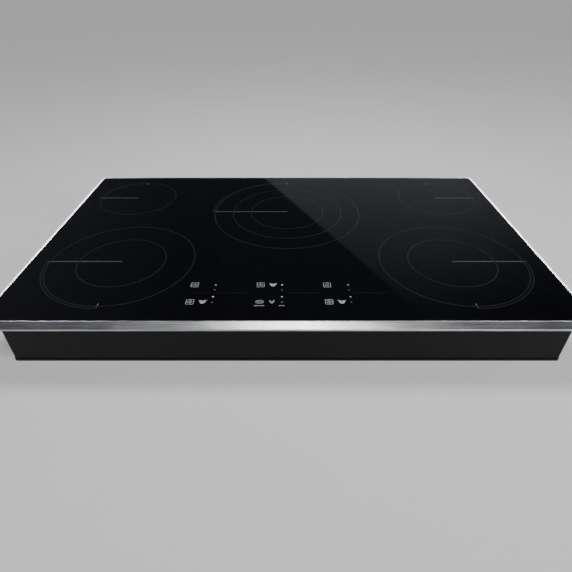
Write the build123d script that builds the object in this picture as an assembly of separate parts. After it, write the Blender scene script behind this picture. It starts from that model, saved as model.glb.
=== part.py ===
"""Built-in electric induction cooktop, 36 in class, with five cooking zones and touch controls.

A black glass plate in a thin metal frame is bonded to a mounting frame. A sheet steel chassis hangs below it
and holds five coil assemblies on a deck, two inverter boards with blowers, a mains filter board, a touch
control module, a terminal block and two worktop clamps.
Frame: millimetres, +Z up, front towards -Y, origin at the middle of the underside of the chassis.
"""

import os
from math import cos, radians, sin

from build123d import *

# ---- overall sizes -------------------------------------------------------------------------------
overall_width = 914.4
overall_depth = 562.0
overall_height = 92.0  # underside of the chassis to the top of the glass

# ---- glass and frame -----------------------------------------------------------------------------
glass_thickness = 4.0
glass_gap = 0.3  # between the edge of the glass and the trims
glass_corner = 5.0
glass_edge_bevel = 0.6
front_trim_depth = 15.5
front_trim_lip = 1.4  # flat top of the front trim beside the glass
front_trim_nose = 2.8  # height of the upright front edge
front_trim_nose_radius = 1.0
edge_trim_width = 4.5
edge_trim_corner = 9.5
edge_trim_bevel = 0.9
trim_proud = 0.3  # how far the trims stand above the glass
trim_foot = 6.0  # width of the ledge of each trim under the glass
trim_ledge = 0.8  # thickness of that ledge
seal_thickness = 1.2
seal_width = 14.0
seal_inset = 1.0
frame_plate = 1.5
frame_inner_lip = 12.0
gasket_thickness = 1.5
gasket_width = 6.5
gasket_inset = 2.0

# ---- chassis -------------------------------------------------------------------------------------
sheet = 1.0
side_setback = 19.2  # outside of the trims to the chassis wall
front_setback = 25.5
rear_setback = 25.0
chassis_flange = 8.0
chassis_corner = 4.0
cover_gap = 0.1
cover_hem = 4.0
cover_tab_height = 15.0
cover_tab_width = 24.0
cover_tab_inset = 55.0  # from the chassis corners to the nearest tabs
cover_tab_rear_x = (-330.0, 0.0, 250.0)
slot_width = 4.0
slot_pitch = 9.0
louvre_spans = ((-220.0, -40.0), (40.0, 220.0))
louvre_z = (36.0, 50.0)
vent_row_inset = (40.5, 26.0)  # from the front wall and from the rear wall
vent_row_count = 12
vent_row_pitch = 20.0
vent_length = 14.0

# ---- cooking zones -------------------------------------------------------------------------------
inch = 25.4
front_zone_inset = 165.5  # centre of a zone in from the side of the cooktop
rear_zone_inset = 121.2
front_zone_back = 161.0  # centre of a zone behind the front edge of the plate
centre_zone_back = 357.5
rear_zone_back = 426.5
mica_thickness = 0.8
mica_margin = 1.0
winding_height = 4.4
turn_pitch = 4.2
turn_groove = 0.9
winding_gap = 4.0  # between two windings of one zone
winding_margin = 4.0  # between the zone's printed edge and its last turn
first_turn = 20.0
carrier_plate = 2.5
carrier_rim = 2.0
carrier_clearance = 0.5
ferrite_length = 44.0
ferrite_width = 12.0
ferrite_thickness = 4.0
ferrite_inner = 24.0
ferrite_rows = 2  # bars between two springs in the innermost row
sensor_radius = 7.0
sensor_flange = 2.5
sensor_flange_thickness = 1.5
sensor_clearance = 0.3
spring_count = 3
spring_wire = 0.7  # radius of the wire
spring_radius = 5.0
spring_turns = 4
spring_share = 0.72  # place of the springs between the centre and the rim of a carrier
spring_pin = 3.4
spring_pin_length = 9.0

# ---- deck and boards -----------------------------------------------------------------------------
spring_height = 19.1  # deck to the underside of the carriers
deck_plate = 1.2
deck_hem = 12.0
deck_gap = 0.2
deck_hole = 26.0
deck_screw_inset = 36.0  # from the chassis corners to the nearest screws
board_thickness = 1.6
standoff_height = 9.0
standoff_radius = 3.5
standoff_inset = 8.0
power_board_inset = 18.0  # from the side wall
power_board_width = 250.0
power_board_length = 275.0
board_gap = 4.0  # between the outlet of a blower and its board
filter_board_x = 105.0
filter_board_setback = 30.0  # behind the front edge of the power boards
filter_board_length = 125.0
heatsink_setback = 10.0
heatsink_length = 180.0
heatsink_base = 4.0
heatsink_height = 36.0
heatsink_fin = 1.5
heatsink_fins = 10
transistor_count = 4
transistor_size = (16.0, 5.0, 21.0)
transistor_legs = 5.0
transistor_leg = 1.1
transistor_leg_pitch = 5.4
can_offset = 54.0  # outwards from the heat sink
can_rows = (35.0, 70.0, 105.0)  # behind the front edge of the board
can_radius = 12.5
can_height = 32.0
can_round = 1.5
film_offset = 66.0  # inwards from the heat sink
film_rows = (45.0, 105.0, 165.0)
film_size = (32.0, 20.0, 26.0)
film_round = 2.0
choke_x = 48.0
choke_outer = 26.0
choke_inner = 12.0
choke_height = 20.0
choke_round = 2.0
lead_radius = 2.2
lead_bend = 9.0
lead_drop = 12.0  # level of the leads below the deck
lead_inset = 16.0
front_lead_end = (75.0, 13.0)  # from the inner front corner of a power board
rear_lead_end = (80.0, 225.0)
centre_lead_end = (20.0, 210.0)

# ---- blowers -------------------------------------------------------------------------------------
blower_inset = 132.0  # from the side wall
blower_back = 100.5  # behind the front edge of the plate
blower_height = 34.0
blower_wall = 2.0
scroll_gap = 6.0  # between the rotor and the wall of its case
outlet_length = 76.0
outlet_width = 60.0
inlet_lap = 1.0  # the inlet is this much smaller than the drum of blades
rotor_radius = 46.0
blade_depth = 10.0
blade_bite = 0.4  # blades end this far inside the drum's two faces
blade_count = 24
blade_thickness = 1.0
blade_angle = 30.0
rotor_ring = 2.0
rotor_disc = 1.6
rotor_clearance = 2.0
hub_gap = 1.5  # between the stator and the hub cup round it
hub_wall = 2.0
hub_height = 17.5
stator_gap = 1.0
shaft_end_gap = 0.5
stator_radius = 13.5
shaft_radius = 2.0
shaft_clearance = 0.05

# ---- touch control module ------------------------------------------------------------------------
control_x = 161.0
control_back = 24.5  # behind the front edge of the plate
control_depth = 76.0
control_wall = 1.8
control_legs = 2.8
control_board_gap = 0.5
control_post = 4.0
control_post_inset = 9.0
pad_radius = 4.5
pad_height = 6.0
key_x = (-151.5, -132.0, -44.0, -23.5, 65.0, 85.5)
key_rows = (44.0, 89.0)  # behind the front edge of the plate

# ---- mains entry ---------------------------------------------------------------------------------
terminal_inset = 38.0  # from the rear wall
terminal_size = (70.0, 28.0, 24.0)
terminal_ways = 5
terminal_pitch = 13.0
terminal_screw = 3.0
terminal_well = 9.0
terminal_wire = 3.5
terminal_wire_level = 8.4
terminal_wire_depth = 10.0
terminal_bevel = 1.0
entry_inset = 66.0  # from the side wall
entry_z = 44.0
entry_bore = 8.0
entry_thread = 11.0
entry_clearance = 0.2
entry_collar = 14.0
entry_outside = 15.0
entry_flats = 6.5
entry_cap = 11.4
entry_cap_round = 2.0
entry_inside = 9.0
entry_nut = 4.0

# ---- worktop clamps ------------------------------------------------------------------------------
clamp_inset = 106.0  # from the rear wall
clamp_screw_offset = 9.2  # from the chassis wall out to the axis of the screw
clamp_opening = 38.5  # worktop to the top of a lowered foot
clamp_arm_drop = 16.0  # top of a lowered foot to the underside of the arm
clamp_arm_reach = 16.0
clamp_plate = 2.0
clamp_width = 26.0
clamp_upright = 26.0
clamp_fixing_spread = 8.0
clamp_fixing_height = 13.0
clamp_screw_radius = 2.5
clamp_head_radius = 4.5
clamp_head_height = 4.0
clamp_head_bevel = 0.5
clamp_screw_drop = 24.5  # underside of the arm to the underside of the screw's head
clamp_key_radius = 1.7
clamp_key_depth = 2.4
clamp_foot_radius = 5.5
clamp_foot_height = 6.0
clamp_foot_bevel = 0.6
clamp_foot_socket = 4.0
clamp_clearance = 0.08
clamp_end_gap = 0.1

# ---- screws --------------------------------------------------------------------------------------
screw_radius = 1.5
screw_length = 7.0
screw_head_radius = 3.4
screw_head_height = 1.9
screw_clearance = 0.1
drive_width = 0.8  # cross recess in the head
drive_length = 3.6

# ---- levels and outlines worked out from the sizes above -----------------------------------------
half_width = overall_width / 2
front = -overall_depth / 2
rear = overall_depth / 2
glass_under = overall_height - glass_thickness
frame_top = glass_under - seal_thickness
trim_under = frame_top - trim_ledge
worktop = trim_under - gasket_thickness
frame_under = frame_top - frame_plate
glass_x = half_width - edge_trim_width - glass_gap
glass_front = front + front_trim_depth + glass_gap
glass_rear = rear - edge_trim_width - glass_gap
box_x = half_width - side_setback
box_front = front + front_setback
box_rear = rear - rear_setback
winding_top = glass_under - mica_thickness
winding_under = winding_top - winding_height
carrier_under = winding_under - carrier_plate
deck_top = carrier_under - spring_height
deck_under = deck_top - deck_plate
deck_x = box_x - sheet - deck_gap
front_zone_x = half_width - front_zone_inset
rear_zone_x = half_width - rear_zone_inset
plate_front = front + front_trim_depth
scroll_radius = rotor_radius + scroll_gap + blower_wall
blade_root = rotor_radius - blade_depth
inlet_radius = blade_root - inlet_lap
hub_inner = stator_radius + hub_gap
blower_x = box_x - blower_inset
blower_y = plate_front + blower_back
blower_top = sheet + blower_height
rotor_top = blower_top - blower_wall - rotor_clearance
hub_floor = rotor_top - hub_height
board_under = sheet + standoff_height
board_top = board_under + board_thickness
power_board_far = box_x - power_board_inset
power_board_near = power_board_far - power_board_width
power_board_front = blower_y + outlet_length + board_gap
power_board_rear = power_board_front + power_board_length
filter_board_front = power_board_front + filter_board_setback
filter_board_rear = filter_board_front + filter_board_length
heatsink_front = power_board_front + heatsink_setback
heatsink_rear = heatsink_front + heatsink_length
heatsink_near = blower_x - outlet_width / 2
heatsink_far = blower_x + outlet_width / 2
control_front = plate_front + control_back
control_rear = control_front + control_depth
control_floor = deck_top + control_legs
control_board_top = glass_under - pad_height
control_board_under = control_board_top - board_thickness
entry_x = box_x - entry_inset
terminal_y = box_rear - terminal_inset
clamp_x = box_x + clamp_screw_offset
clamp_y = box_rear - clamp_inset
clamp_foot_top = worktop - clamp_opening
clamp_foot_under = clamp_foot_top - clamp_foot_height
clamp_arm_under = clamp_foot_top - clamp_arm_drop
clamp_head_under = clamp_arm_under - clamp_screw_drop

# name, centre x, centre y, diameters of the zone's windings from the inside out
zones = [
    ("left_front", -front_zone_x, plate_front + front_zone_back, (6 * inch, 10 * inch)),
    ("left_rear", -rear_zone_x, plate_front + rear_zone_back, (6.5 * inch,)),
    ("centre", 0.0, plate_front + centre_zone_back, (6 * inch, 9 * inch, 12 * inch)),
    ("right_rear", rear_zone_x, plate_front + rear_zone_back, (6.5 * inch,)),
    ("right_front", front_zone_x, plate_front + front_zone_back, (6 * inch, 10 * inch)),
]
sides = (("left", -1), ("right", 1))


def block(x0, x1, y0, y1, z0, z1):
    """A box from its two opposite corners."""
    return Pos((x0 + x1) / 2, (y0 + y1) / 2, (z0 + z1) / 2) * Box(abs(x1 - x0), abs(y1 - y0), abs(z1 - z0))


def slab(x0, x1, y0, y1, z0, z1, radius):
    """A box with rounded upright edges."""
    outline = RectangleRounded(x1 - x0, y1 - y0, radius)
    return Pos((x0 + x1) / 2, (y0 + y1) / 2, z0) * extrude(outline, z1 - z0)


def rod(x, y, z0, z1, radius):
    """An upright cylinder."""
    return Pos(x, y, (z0 + z1) / 2) * Cylinder(radius, z1 - z0)


def tube(x, y, z0, z1, outer, inner):
    """An upright tube."""
    return rod(x, y, z0, z1, outer) - rod(x, y, z0 - 1, z1 + 1, inner)


def group(solids):
    """Separate solids that share one node."""
    return Compound(children=list(solids))


def polar(count, radius, offset=0.0):
    """Points round a circle, each with its angle in degrees."""
    for i in range(count):
        angle = offset + 360 * i / count
        yield radius * cos(radians(angle)), radius * sin(radians(angle)), angle


# ---- glass and frame -----------------------------------------------------------------------------
def glass_top():
    plate = slab(-glass_x, glass_x, glass_front, glass_rear, glass_under, overall_height, glass_corner)
    return chamfer(plate.faces().sort_by(Axis.Z)[-1].edges(), glass_edge_bevel)


def front_trim():
    """Bar with a sloping face, an upright nose and a ledge under the glass."""
    inner = front + front_trim_depth
    top = overall_height + trim_proud
    nose = trim_under + front_trim_nose
    ledge = inner + glass_gap + trim_foot
    outline = [
        (front, trim_under),
        (front, nose),
        (inner - front_trim_lip, top),
        (inner, top),
        (inner, frame_top),
        (ledge, frame_top),
        (ledge, trim_under),
    ]
    bar = extrude(Plane.YZ * make_face(Polyline(*outline, close=True)), half_width, both=True)
    nose_edge = bar.edges().filter_by(Axis.X).group_by(Axis.Y)[0].sort_by(Axis.Z)[-1]
    return fillet(nose_edge, front_trim_nose_radius)


def edge_frame():
    """The side and rear trims in one piece, before they are mitred."""
    start = front + front_trim_depth
    top = overall_height + trim_proud
    wall = slab(-half_width, half_width, front, rear, trim_under, top, edge_trim_corner)
    wall = chamfer(wall.faces().sort_by(Axis.Z)[-1].outer_wire().edges(), edge_trim_bevel)
    inside_x = half_width - edge_trim_width
    inside_y = rear - edge_trim_width
    inside = slab(-inside_x, inside_x, front, inside_y, frame_top, top + 1, glass_corner + glass_gap)
    ledge_x = inside_x - glass_gap - trim_foot
    ledge_y = inside_y - glass_gap - trim_foot
    middle = block(-ledge_x, ledge_x, front - 1, ledge_y, 0, top + 1)
    # the front trim takes the whole width, its ledge included, so the side trims stop behind it
    notch = block(-half_width - 1, half_width + 1, front - 1, start, 0, top + 1)
    low_notch = block(-half_width - 1, half_width + 1, front - 1, start + glass_gap + trim_foot, 0, frame_top)
    return wall - inside - middle - notch - low_notch


def edge_trims():
    """The left, right and rear trims, mitred at 45 degrees in the two rear corners."""
    whole = edge_frame()
    corners = [(-half_width, rear), (half_width, rear), (0, rear - half_width)]
    wedge = extrude(make_face(Polyline(*corners, close=True)), 2 * overall_height)
    rest = whole - wedge
    left = rest & block(-overall_width, 0, -overall_depth, overall_depth, 0, 2 * overall_height)
    return {"left_trim": left, "right_trim": rest - left, "rear_trim": whole & wedge}


def ring_plate(outer, width, z0, z1, radius):
    """A flat frame; outer holds its x half width, front and rear."""
    x, y0, y1 = outer
    whole = slab(-x, x, y0, y1, z0, z1, radius)
    middle = slab(-x + width, x - width, y0 + width, y1 - width, z0 - 1, z1 + 1, radius)
    return whole - middle


def bond_seal():
    outer = (glass_x - seal_inset, glass_front + seal_inset, glass_rear - seal_inset)
    return ring_plate(outer, seal_width, frame_top, glass_under, glass_corner)


def mounting_frame():
    inset = trim_foot + glass_gap
    x = glass_x - inset
    whole = slab(-x, x, glass_front + inset, glass_rear - inset, frame_under, frame_top, glass_corner)
    inner_x = box_x - frame_inner_lip
    inner_front = box_front + frame_inner_lip
    inner_rear = box_rear - frame_inner_lip
    return whole - slab(-inner_x, inner_x, inner_front, inner_rear, 0, overall_height, glass_corner)


def worktop_gasket():
    outer = (half_width - gasket_inset, front + gasket_inset, rear - gasket_inset)
    return ring_plate(outer, gasket_width, worktop, trim_under, glass_corner)


# ---- chassis -------------------------------------------------------------------------------------
def cover_screw_places():
    """Screws of the bottom cover: a point on the chassis wall and the outward direction."""
    z = sheet + cover_tab_height / 2
    for side in (-1, 1):
        for y in (box_front + cover_tab_inset, (box_front + box_rear) / 2, box_rear - cover_tab_inset):
            yield Vector(side * box_x, y, z), Vector(side, 0, 0)
    for x in cover_tab_rear_x:
        yield Vector(x, box_rear, z), Vector(0, 1, 0)


def deck_screw_places():
    z = deck_under - deck_hem / 2
    for side in (-1, 1):
        for y in (box_front + deck_screw_inset, (box_front + box_rear) / 2, box_rear - deck_screw_inset):
            yield Vector(side * box_x, y, z), Vector(side, 0, 0)


def clamp_screw_places():
    for side in (-1, 1):
        for step in (-1, 1):
            y = clamp_y + step * clamp_fixing_spread
            yield Vector(side * box_x, y, clamp_arm_under + clamp_fixing_height), Vector(side, 0, 0)


def screw_holes(places):
    """Cutters for a row of screws, through the wall and what is fastened to it."""
    for point, outward in places:
        plane = Plane(origin=point + outward * screw_length, z_dir=-outward)
        yield plane * extrude(Circle(screw_radius + screw_clearance), 3 * screw_length)


def screw(point, outward, seat):
    """One screw; seat is the distance from the wall's outer face out to the underside of its head."""
    plane = Plane(origin=point + outward * seat, z_dir=outward)
    head = extrude(Circle(screw_head_radius), screw_head_height)
    head = fillet(head.edges().sort_by(Axis.Z)[-1], screw_head_height / 2)
    head -= Pos(0, 0, screw_head_height) * Box(drive_width, drive_length, screw_head_height)
    head -= Pos(0, 0, screw_head_height) * Box(drive_length, drive_width, screw_head_height)
    shank = Pos(0, 0, -screw_length / 2) * Cylinder(screw_radius, screw_length)
    return plane * (head + shank)


def case_screws():
    cover_seat = cover_gap + sheet
    made = [screw(point, way, cover_seat) for point, way in cover_screw_places()]
    made += [screw(point, way, 0) for point, way in deck_screw_places()]
    made += [screw(point, way, clamp_plate) for point, way in clamp_screw_places()]
    return group(made)


def chassis_frame():
    """Four walls with an inward flange at the top, rear louvres and the hole for the mains entry."""
    outer = slab(-box_x, box_x, box_front, box_rear, sheet, frame_under, chassis_corner)
    x, y0, y1 = box_x - sheet, box_front + sheet, box_rear - sheet
    hollow = slab(-x, x, y0, y1, 0, frame_under - sheet, chassis_corner - sheet)
    x, y0, y1 = box_x - chassis_flange, box_front + chassis_flange, box_rear - chassis_flange
    opening = slab(-x, x, y0, y1, 0, overall_height, chassis_corner)
    cuts = [hollow, opening]
    cuts += screw_holes(cover_screw_places())
    cuts += screw_holes(deck_screw_places())
    cuts += screw_holes(clamp_screw_places())
    for x0, x1 in louvre_spans:
        count = int((x1 - x0) // slot_pitch)
        for i in range(count):
            x = x0 + (i + 0.5) * slot_pitch
            cuts.append(block(x - slot_width / 2, x + slot_width / 2, box_rear - 3, box_rear + 3, *louvre_z))
    cuts.append(entry_axis(box_rear - 2 * sheet, box_rear + sheet, entry_thread + entry_clearance))
    return outer - cuts


def inlet_slots(side):
    """Slots of the bottom cover under one blower, shortened to the inlet's circle."""
    rows = int(inlet_radius // slot_pitch)
    for i in range(-rows, rows + 1):
        offset = i * slot_pitch
        reach = (inlet_radius**2 - offset**2) ** 0.5
        x = side * blower_x
        y = blower_y + offset
        half = slot_width / 2
        yield slab(x - reach, x + reach, y - half, y + half, -1, sheet + 1, half * 0.99)


def bottom_cover():
    """Tray that closes the chassis from below, with a hem round the walls and screw tabs."""
    reach = sheet + cover_gap
    x = box_x + reach
    y0 = box_front - reach
    y1 = box_rear + reach
    radius = chassis_corner + reach
    tray = slab(-x, x, y0, y1, 0, cover_hem, radius)
    tray -= slab(-x + sheet, x - sheet, y0 + sheet, y1 - sheet, sheet, cover_hem + 1, radius - sheet)
    for point, way in cover_screw_places():
        middle = point + way * (cover_gap + sheet / 2)
        width = cover_tab_width * abs(way.Y) + sheet * abs(way.X)
        depth = cover_tab_width * abs(way.X) + sheet * abs(way.Y)
        tray += Pos(middle.X, middle.Y, cover_tab_height / 2) * Box(width, depth, cover_tab_height)
    cuts = list(screw_holes(cover_screw_places()))
    for _, side in sides:
        cuts += inlet_slots(side)
    for y in (box_front + vent_row_inset[0], box_rear - vent_row_inset[1]):
        for i in range(vent_row_count):
            x = (i - (vent_row_count - 1) / 2) * vent_row_pitch
            half = vent_length / 2
            edge = slot_width / 2
            cuts.append(slab(x - half, x + half, y - edge, y + edge, -1, sheet + 1, edge * 0.99))
    return tray - cuts


def coil_deck():
    """Plate that carries the coils, with a hem screwed to each side wall."""
    y0 = box_front + sheet + deck_gap
    y1 = box_rear - sheet - deck_gap
    corner = chassis_corner
    outer = slab(-deck_x, deck_x, y0, y1, deck_under - deck_hem, deck_top, corner)
    hollow = block(-deck_x + deck_plate, deck_x - deck_plate, y0 - 1, y1 + 1, 0, deck_under)
    cuts = [hollow]
    cuts += screw_holes(deck_screw_places())
    cuts += [rod(x, y, 0, overall_height, deck_hole) for _, x, y, _ in zones]
    return outer - cuts


# ---- cooking zones -------------------------------------------------------------------------------
def winding_bands(diameters):
    """Inner and outer radius of each winding, from the inside out."""
    start = first_turn
    for diameter in diameters:
        stop = diameter / 2 - winding_margin
        turns = int((stop - start) // turn_pitch)
        yield stop - turns * turn_pitch if start > first_turn else start, turns
        start = diameter / 2 + winding_gap


def winding(x, y, inner, turns):
    """One flat winding: a ring with a groove between neighbouring turns."""
    points = [(inner, winding_under)]
    for i in range(turns):
        r = inner + i * turn_pitch
        points.append((r, winding_top - turn_groove))
        points.append((r + turn_groove, winding_top))
        points.append((r + turn_pitch - turn_groove, winding_top))
    outer = inner + turns * turn_pitch
    points.append((outer, winding_top - turn_groove))
    points.append((outer, winding_under))
    ring = revolve(Plane.XZ * make_face(Polyline(*points, close=True)), Axis.Z)
    return Pos(x, y, 0) * ring


def windings(x, y, diameters):
    return group(winding(x, y, inner, turns) for inner, turns in winding_bands(diameters))


def carrier_radius(diameters):
    inner, turns = list(winding_bands(diameters))[-1]
    return inner + turns * turn_pitch + carrier_clearance + carrier_rim


def ferrite_places(x, y, diameters):
    """Radial bars under the carrier, a row for each winding, with gaps in line for the springs."""
    for i, (inner, turns) in enumerate(winding_bands(diameters)):
        length = min(ferrite_length, turns * turn_pitch)
        start = max(inner, ferrite_inner)
        count = ferrite_rows * spring_count + spring_count * i
        for px, py, angle in polar(count, start + length / 2, offset=180 / count):
            yield Pos(x + px, y + py, 0) * Rot(0, 0, angle), length


def spring_places(x, y, diameters):
    """Springs stand between the ferrite bars of the outermost winding."""
    radius = carrier_radius(diameters) * spring_share
    for px, py, _ in polar(spring_count, radius):
        yield x + px, y + py


def coil_carrier(x, y, diameters):
    """Moulded disc with an outer rim, a hole for the sensor and a pin inside each spring."""
    radius = carrier_radius(diameters)
    disc = rod(x, y, carrier_under, winding_under, radius)
    disc += tube(x, y, winding_under, winding_top, radius, radius - carrier_rim)
    disc += tube(
        x,
        y,
        winding_under,
        winding_top,
        first_turn - carrier_clearance,
        sensor_radius + sensor_clearance,
    )
    disc -= rod(x, y, 0, overall_height, sensor_radius + sensor_clearance)
    for px, py in spring_places(x, y, diameters):
        disc += rod(px, py, carrier_under - spring_pin_length, carrier_under, spring_pin)
    return disc


def ferrite_bars():
    made = []
    for _, x, y, diameters in zones:
        for place, length in ferrite_places(x, y, diameters):
            bar = Box(length, ferrite_width, ferrite_thickness)
            made.append(place * Pos(0, 0, carrier_under - ferrite_thickness / 2) * bar)
    return group(made)


def mica_sheet(x, y, diameters):
    return rod(x, y, winding_top, glass_under, max(diameters) / 2 - mica_margin)


def temperature_sensors():
    made = []
    for _, x, y, _ in zones:
        body = rod(x, y, carrier_under, winding_top, sensor_radius)
        under = carrier_under - sensor_flange_thickness
        made.append(body + rod(x, y, under, carrier_under, sensor_radius + sensor_flange))
    return group(made)


def carrier_springs():
    """Compression springs between the deck and the carriers."""
    low = deck_top + spring_wire
    length = carrier_under - deck_top - 2 * spring_wire
    path = Helix(length / spring_turns, length, spring_radius)
    section = Plane(origin=path @ 0, z_dir=path % 0) * Circle(spring_wire)
    spring = sweep(section, path=path, is_frenet=True)
    made = []
    for _, x, y, diameters in zones:
        made += [Pos(px, py, low) * spring for px, py in spring_places(x, y, diameters)]
    return group(made)


# ---- power electronics ---------------------------------------------------------------------------
def span(side, near, far):
    """Left and right X of a piece that is mirrored from side to side."""
    return (near, far) if side > 0 else (-far, -near)


def power_board(side):
    x0, x1 = span(side, power_board_near, power_board_far)
    return block(x0, x1, power_board_front, power_board_rear, board_under, board_top)


def filter_board():
    x = filter_board_x
    return block(-x, x, filter_board_front, filter_board_rear, board_under, board_top)


def board_standoffs():
    """Threaded pillars between the bottom cover and the corners of the three boards."""
    made = []
    frames = [(-filter_board_x, filter_board_x, filter_board_front, filter_board_rear)]
    for _, side in sides:
        x0, x1 = span(side, power_board_near, power_board_far)
        frames.append((x0, x1, power_board_front, power_board_rear))
    for x0, x1, y0, y1 in frames:
        for x in (x0 + standoff_inset, x1 - standoff_inset):
            for y in (y0 + standoff_inset, y1 - standoff_inset):
                made.append(rod(x, y, sheet, board_under, standoff_radius))
    return group(made)


def heatsink(side):
    """Finned aluminium extrusion in line with the outlet of the blower."""
    x0, x1 = span(side, heatsink_near, heatsink_far)
    y0, y1 = heatsink_front, heatsink_rear
    floor = board_top + heatsink_base
    body = block(x0, x1, y0, y1, board_top, floor)
    pitch = (x1 - x0 - heatsink_fin) / (heatsink_fins - 1)
    for i in range(heatsink_fins):
        x = x0 + i * pitch
        body += block(x, x + heatsink_fin, y0, y1, floor, board_top + heatsink_height)
    return body


def transistor_places(side):
    for i in range(transistor_count):
        yield side * heatsink_far, heatsink_front + (i + 0.5) * heatsink_length / transistor_count


def transistors():
    """Power transistors that stand against the outer side of each heat sink."""
    made = []
    width, thick, tall = transistor_size
    low = board_top + transistor_legs
    for _, side in sides:
        for face, y in transistor_places(side):
            body = block(face, face + side * thick, y - width / 2, y + width / 2, low, low + tall)
            x = face + side * thick / 2
            for step in (-1, 0, 1):
                half = transistor_leg / 2
                leg_y = y + step * transistor_leg_pitch
                body += block(x - half, x + half, leg_y - half, leg_y + half, board_top, low)
            made.append(body)
    return group(made)


def capacitors():
    """Film and electrolytic capacitors of both power boards."""
    made = []
    for _, side in sides:
        for row in can_rows:
            x = side * (heatsink_far + can_offset)
            can = rod(x, power_board_front + row, board_top, board_top + can_height, can_radius)
            made.append(fillet(can.edges().sort_by(Axis.Z)[-1], can_round))
        for row in film_rows:
            x = side * (heatsink_near - film_offset)
            case = Box(*film_size, align=(Align.CENTER, Align.CENTER, Align.MIN))
            case = fillet(case.edges().filter_by(Axis.Z), film_round)
            made.append(Pos(x, power_board_front + row, board_top) * case)
    return group(made)


def filter_chokes():
    """Two toroidal chokes lying on the filter board."""
    made = []
    middle_y = (filter_board_front + filter_board_rear) / 2
    for side in (-1, 1):
        x = side * choke_x
        ring = tube(x, middle_y, board_top, board_top + choke_height, choke_outer, choke_inner)
        made.append(fillet(ring.edges().filter_by(GeomType.CIRCLE), choke_round))
    return group(made)


def coil_leads():
    """One bundle of leads for each zone, from its carrier through the deck down to a power board."""
    made = []
    level = deck_under - lead_drop
    ends = {"front": front_lead_end, "rear": rear_lead_end, "centre": centre_lead_end}
    for name, x, y, _ in zones:
        side = -1 if x < 0 else 1
        start_x = x - side * lead_inset
        across, back = ends[name.split("_")[-1]]
        end_x = side * (power_board_near + across)
        end_y = power_board_front + back
        path = FilletPolyline(
            (start_x, y, carrier_under),
            (start_x, y, level),
            (end_x, end_y, level),
            (end_x, end_y, board_top),
            radius=lead_bend,
        )
        section = Plane(origin=path @ 0, z_dir=path % 0) * Circle(lead_radius)
        made.append(sweep(section, path=path))
    return group(made)


# ---- blowers -------------------------------------------------------------------------------------
def scroll_outline(side, margin, reach):
    """Outline of the scroll case: a disc with the outlet duct to its rear."""
    x = side * blower_x
    disc = Pos(x, blower_y) * Circle(scroll_radius - margin)
    duct = Pos(x, blower_y + reach / 2) * Rectangle(outlet_width - 2 * margin, reach)
    return disc + duct


def blower_case(side):
    """Lower shell of the scroll, open at the top and at the outlet, with the inlet in its floor."""
    low = sheet
    shell = Pos(0, 0, low) * extrude(scroll_outline(side, 0, outlet_length), blower_height - blower_wall)
    hollow = scroll_outline(side, blower_wall, outlet_length + 1)
    shell -= Pos(0, 0, low + blower_wall) * extrude(hollow, blower_height)
    return shell - rod(side * blower_x, blower_y, 0, blower_top, inlet_radius)


def blower_lid(side):
    under = blower_top - blower_wall
    return Pos(0, 0, under) * extrude(scroll_outline(side, 0, outlet_length), blower_wall)


def blower_stator(side):
    """Motor stator under the lid, with the bearing bore for the rotor's shaft."""
    under = blower_top - blower_wall
    x = side * blower_x
    return tube(x, blower_y, hub_floor + stator_gap, under, stator_radius, shaft_radius + shaft_clearance)


def blower_rotor(side):
    """Drum of forward-curved blades with a hub cup round the stator and a shaft in its bearing."""
    x, y = side * blower_x, blower_y
    disc_under = rotor_top - rotor_disc
    low = sheet + blower_wall + rotor_clearance
    cup_under = hub_floor - hub_wall
    rotor = tube(x, y, disc_under, rotor_top, rotor_radius, hub_inner)
    rotor += tube(x, y, cup_under, rotor_top, hub_inner + hub_wall, hub_inner)
    rotor += rod(x, y, cup_under, hub_floor, hub_inner + hub_wall)
    rotor += rod(x, y, cup_under, blower_top - blower_wall - shaft_end_gap, shaft_radius)
    rotor += tube(x, y, low, low + rotor_ring, rotor_radius, rotor_radius - rotor_ring)
    middle = (rotor_radius + blade_root) / 2
    for px, py, angle in polar(blade_count, middle):
        blade = Box(blade_depth - 2 * blade_bite, blade_thickness, disc_under - low)
        place = Pos(x + px, y + py, (low + disc_under) / 2) * Rot(0, 0, angle + side * blade_angle)
        rotor += place * blade
    return rotor


# ---- touch control module ------------------------------------------------------------------------
def control_tray():
    x, y0, y1 = control_x, control_front, control_rear
    tray = slab(-x, x, y0, y1, control_floor, control_board_top, chassis_corner)
    inner_radius = chassis_corner - control_wall
    tray -= slab(
        -x + control_wall,
        x - control_wall,
        y0 + control_wall,
        y1 - control_wall,
        control_floor + control_wall,
        overall_height,
        inner_radius,
    )
    for post_x in (-x + control_post_inset, x - control_post_inset):
        for post_y in (y0 + control_post_inset, y1 - control_post_inset):
            tray += rod(post_x, post_y, deck_top, control_board_under, control_post)
    return tray


def control_board():
    margin = control_wall + control_board_gap
    x, y0, y1 = control_x - margin, control_front + margin, control_rear - margin
    return slab(-x, x, y0, y1, control_board_under, control_board_top, chassis_corner - control_wall)


def touch_pads():
    """Conductive foam pads that carry each key's field from the board to the glass."""
    places = [(x, plate_front + row) for x in key_x for row in key_rows]
    return group(rod(x, y, control_board_top, glass_under, pad_radius) for x, y in places)


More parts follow.
